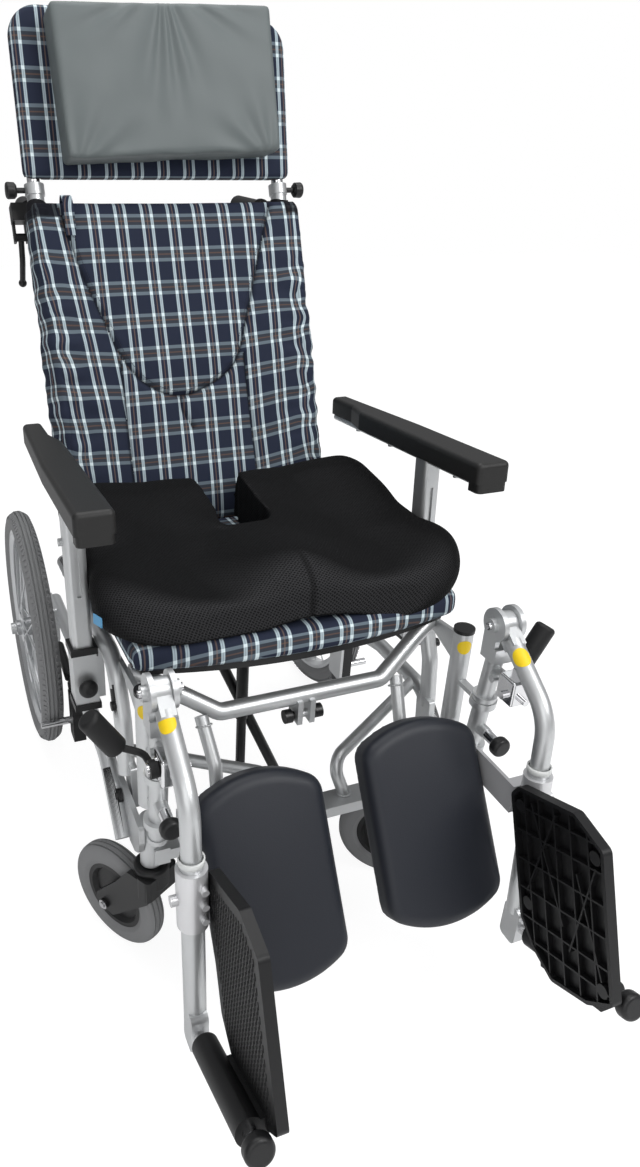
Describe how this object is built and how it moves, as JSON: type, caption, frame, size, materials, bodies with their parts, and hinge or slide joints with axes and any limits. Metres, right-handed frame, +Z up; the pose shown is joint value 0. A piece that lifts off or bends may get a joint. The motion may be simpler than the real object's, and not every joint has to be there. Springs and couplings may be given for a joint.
{
  "type": "reclining wheelchair",
  "caption": "Attendant wheelchair with tilting seat, reclining padded back, adjustable headrest, height-set arms and swing-away elevating legrests with folding footplates",
  "frame": {"origin": "on the floor, under the middle of the chair's overall length and width", "axes": "X to the sitter's left, -Y to the front, Z up"},
  "size_m": [0.608, 1.1785, 1.1563],
  "materials": {
    "frame_silver": "satin silver tube",
    "chrome": "bright plated",
    "black_plastic": "moulded black",
    "black_metal": "black painted",
    "grip_rubber": "soft black",
    "tyre_grey": "grey grooved rubber",
    "rim_silver": "silver rim and spokes",
    "plaid": "navy plaid cloth",
    "cushion_mesh": "black knitted mesh",
    "pillow_vinyl": "grey vinyl",
    "calf_vinyl": "dark blue-grey vinyl"
  },
  "bodies": {
    "base": {"base_side_left": "frame_silver", "base_side_right": "frame_silver", "base_cross_bar": "frame_silver", "base_axle_tube": "frame_silver", "brake_unit_left": "black_plastic", "brake_unit_right": "black_plastic"},
    "seat": {"seat_rail_left": "frame_silver", "seat_rail_right": "frame_silver", "seat_cross_tubes": "frame_silver", "tilt_struts": "black_metal", "seat_pan": "black_plastic", "seat_pad": "plaid", "seat_cushion": "cushion_mesh", "arm_socket_left": "frame_silver", "arm_socket_right": "frame_silver", "arm_knobs": "black_plastic"},
    "back": {"back_frame": "frame_silver", "back_upholstery": "plaid", "handle_grip_left": "grip_rubber", "handle_grip_right": "grip_rubber", "head_knobs": "black_plastic"},
    "headrest": {"head_posts": "chrome", "head_panel": "plaid", "head_pillow": "pillow_vinyl"},
    "wheel_left": {"rear_tyre_left": "tyre_grey", "rear_rim_left": "rim_silver"},
    "caster_swivel_left": {"caster_fork_left": "black_plastic"},
    "caster_wheel_left": {"caster_hub_left": "black_plastic", "caster_tyre_left": "tyre_grey"},
    "park_brake_left": {"park_lever_left": "black_plastic"},
    "arm_left": {"arm_post_left": "frame_silver", "arm_pad_left": "black_plastic"},
    "hand_brake_left": {"hand_lever_left": "black_plastic"},
    "hanger_left": {"hanger_post_left": "frame_silver"},
    "plunger_left": {"leg_plunger_left": "black_plastic"},
    "leg_lock_left": {"leg_lever_left": "grip_rubber"},
    "leg_lift_left": {"hanger_tube_left": "frame_silver"},
    "shank_left": {"leg_tube_left": "frame_silver", "calf_bracket_left": "chrome", "calf_pad_left": "calf_vinyl", "foot_rod_left": "chrome"},
    "foot_left": {"footplate_left": "black_plastic"},
    "wheel_right": {"rear_tyre_right": "tyre_grey", "rear_rim_right": "rim_silver"},
    "caster_swivel_right": {"caster_fork_right": "black_plastic"},
    "caster_wheel_right": {"caster_hub_right": "black_plastic", "caster_tyre_right": "tyre_grey"},
    "park_brake_right": {"park_lever_right": "black_plastic"},
    "arm_right": {"arm_post_right": "frame_silver", "arm_pad_right": "black_plastic"},
    "hand_brake_right": {"hand_lever_right": "black_plastic"},
    "hanger_right": {"hanger_post_right": "frame_silver"},
    "plunger_right": {"leg_plunger_right": "black_plastic"},
    "leg_lock_right": {"leg_lever_right": "grip_rubber"},
    "leg_lift_right": {"hanger_tube_right": "frame_silver"},
    "shank_right": {"leg_tube_right": "frame_silver", "calf_bracket_right": "chrome", "calf_pad_right": "calf_vinyl", "foot_rod_right": "chrome"},
    "foot_right": {"footplate_right": "black_plastic"}
  },
  "joints": [
    {"name": "seat_tilt", "type": "hinge", "parent": "base", "child": "seat", "pos_m": [0, -0.148, 0.228], "axis": [-1, 0, 0], "range_deg": [0, 10]},
    {"name": "back_recline", "type": "hinge", "parent": "seat", "child": "back", "pos_m": [0, 0.214, 0.38], "axis": [-1, 0, 0], "range_deg": [0, 45]},
    {"name": "headrest_slide", "type": "slide", "parent": "back", "child": "headrest", "axis": [0, 0.3665, 0.9304], "range_m": [0, 0.06]},
    {"name": "wheel_spin_left", "type": "hinge", "parent": "base", "child": "wheel_left", "pos_m": [0.268, 0.352, 0.203], "axis": [1, 0, 0], "continuous": true},
    {"name": "caster_turn_left", "type": "hinge", "parent": "base", "child": "caster_swivel_left", "pos_m": [0.212, -0.214, 0.18], "axis": [0, 0, 1], "continuous": true},
    {"name": "caster_spin_left", "type": "hinge", "parent": "caster_swivel_left", "child": "caster_wheel_left", "pos_m": [0.15942, -0.18115, 0.075], "axis": [0.5299, 0.848, 0], "continuous": true},
    {"name": "park_brake_left", "type": "hinge", "parent": "base", "child": "park_brake_left", "pos_m": [0.24, 0.136, 0.212], "axis": [-1, 0, 0], "range_deg": [0, 25]},
    {"name": "arm_height_left", "type": "slide", "parent": "seat", "child": "arm_left", "axis": [0, 0.075, 0.9972], "range_m": [0, 0.06]},
    {"name": "leg_swing_left", "type": "hinge", "parent": "seat", "child": "hanger_left", "pos_m": [0.214, -0.277, 0.472], "axis": [0, -0.1045, 0.9945], "range_deg": [0, 55]},
    {"name": "plunger_pull_left", "type": "slide", "parent": "hanger_left", "child": "plunger_left", "axis": [0, -1, 0], "range_m": [0, 0.008], "stiffness_N_per_m": 800},
    {"name": "leg_lock_left", "type": "hinge", "parent": "hanger_left", "child": "leg_lock_left", "pos_m": [0.234, -0.31485, 0.404], "axis": [-1, 0, 0], "range_deg": [0, 25], "stiffness_Nm_per_rad": 3},
    {"name": "leg_lift_left", "type": "hinge", "parent": "hanger_left", "child": "leg_lift_left", "pos_m": [0.214, -0.277, 0.472], "axis": [-1, 0, 0], "range_deg": [0, 65]},
    {"name": "leg_length_left", "type": "slide", "parent": "leg_lift_left", "child": "shank_left", "axis": [0, -0.0685, -0.9977], "range_m": [-0.015, 0.06]},
    {"name": "footplate_flip_left", "type": "hinge", "parent": "shank_left", "child": "foot_left", "pos_m": [0.214, -0.406, 0.1], "axis": [0, -0.9304, 0.3665], "range_deg": [0, 90]},
    {"name": "hand_brake_left", "type": "hinge", "parent": "back", "child": "hand_brake_left", "pos_m": [0.217, 0.46108, 0.83386], "axis": [1, 0, 0], "range_deg": [0, 18], "stiffness_Nm_per_rad": 2},
    {"name": "wheel_spin_right", "type": "hinge", "parent": "base", "child": "wheel_right", "pos_m": [-0.268, 0.352, 0.203], "axis": [1, 0, 0], "continuous": true},
    {"name": "caster_turn_right", "type": "hinge", "parent": "base", "child": "caster_swivel_right", "pos_m": [-0.212, -0.214, 0.18], "axis": [0, 0, 1], "continuous": true},
    {"name": "caster_spin_right", "type": "hinge", "parent": "caster_swivel_right", "child": "caster_wheel_right", "pos_m": [-0.243, -0.16031, 0.075], "axis": [0.866, 0.5, 0], "continuous": true},
    {"name": "park_brake_right", "type": "hinge", "parent": "base", "child": "park_brake_right", "pos_m": [-0.24, 0.136, 0.212], "axis": [-1, 0, 0], "range_deg": [0, 25]},
    {"name": "arm_height_right", "type": "slide", "parent": "seat", "child": "arm_right", "axis": [0, 0.075, 0.9972], "range_m": [0, 0.06]},
    {"name": "leg_swing_right", "type": "hinge", "parent": "seat", "child": "hanger_right", "pos_m": [-0.214, -0.277, 0.472], "axis": [0, 0.1045, -0.9945], "range_deg": [0, 55]},
    {"name": "plunger_pull_right", "type": "slide", "parent": "hanger_right", "child": "plunger_right", "axis": [0, -1, 0], "range_m": [0, 0.008], "stiffness_N_per_m": 800},
    {"name": "leg_lock_right", "type": "hinge", "parent": "hanger_right", "child": "leg_lock_right", "pos_m": [-0.234, -0.31485, 0.404], "axis": [-1, 0, 0], "range_deg": [0, 25], "stiffness_Nm_per_rad": 3},
    {"name": "leg_lift_right", "type": "hinge", "parent": "hanger_right", "child": "leg_lift_right", "pos_m": [-0.214, -0.277, 0.472], "axis": [-1, 0, 0], "range_deg": [0, 65]},
    {"name": "leg_length_right", "type": "slide", "parent": "leg_lift_right", "child": "shank_right", "axis": [0, -0.0685, -0.9977], "range_m": [-0.015, 0.06]},
    {"name": "footplate_flip_right", "type": "hinge", "parent": "shank_right", "child": "foot_right", "pos_m": [-0.214, -0.406, 0.1], "axis": [0, 0.9304, -0.3665], "range_deg": [0, 90]},
    {"name": "hand_brake_right", "type": "hinge", "parent": "back", "child": "hand_brake_right", "pos_m": [-0.217, 0.46108, 0.83386], "axis": [1, 0, 0], "range_deg": [0, 18], "stiffness_Nm_per_rad": 2}
  ]
}
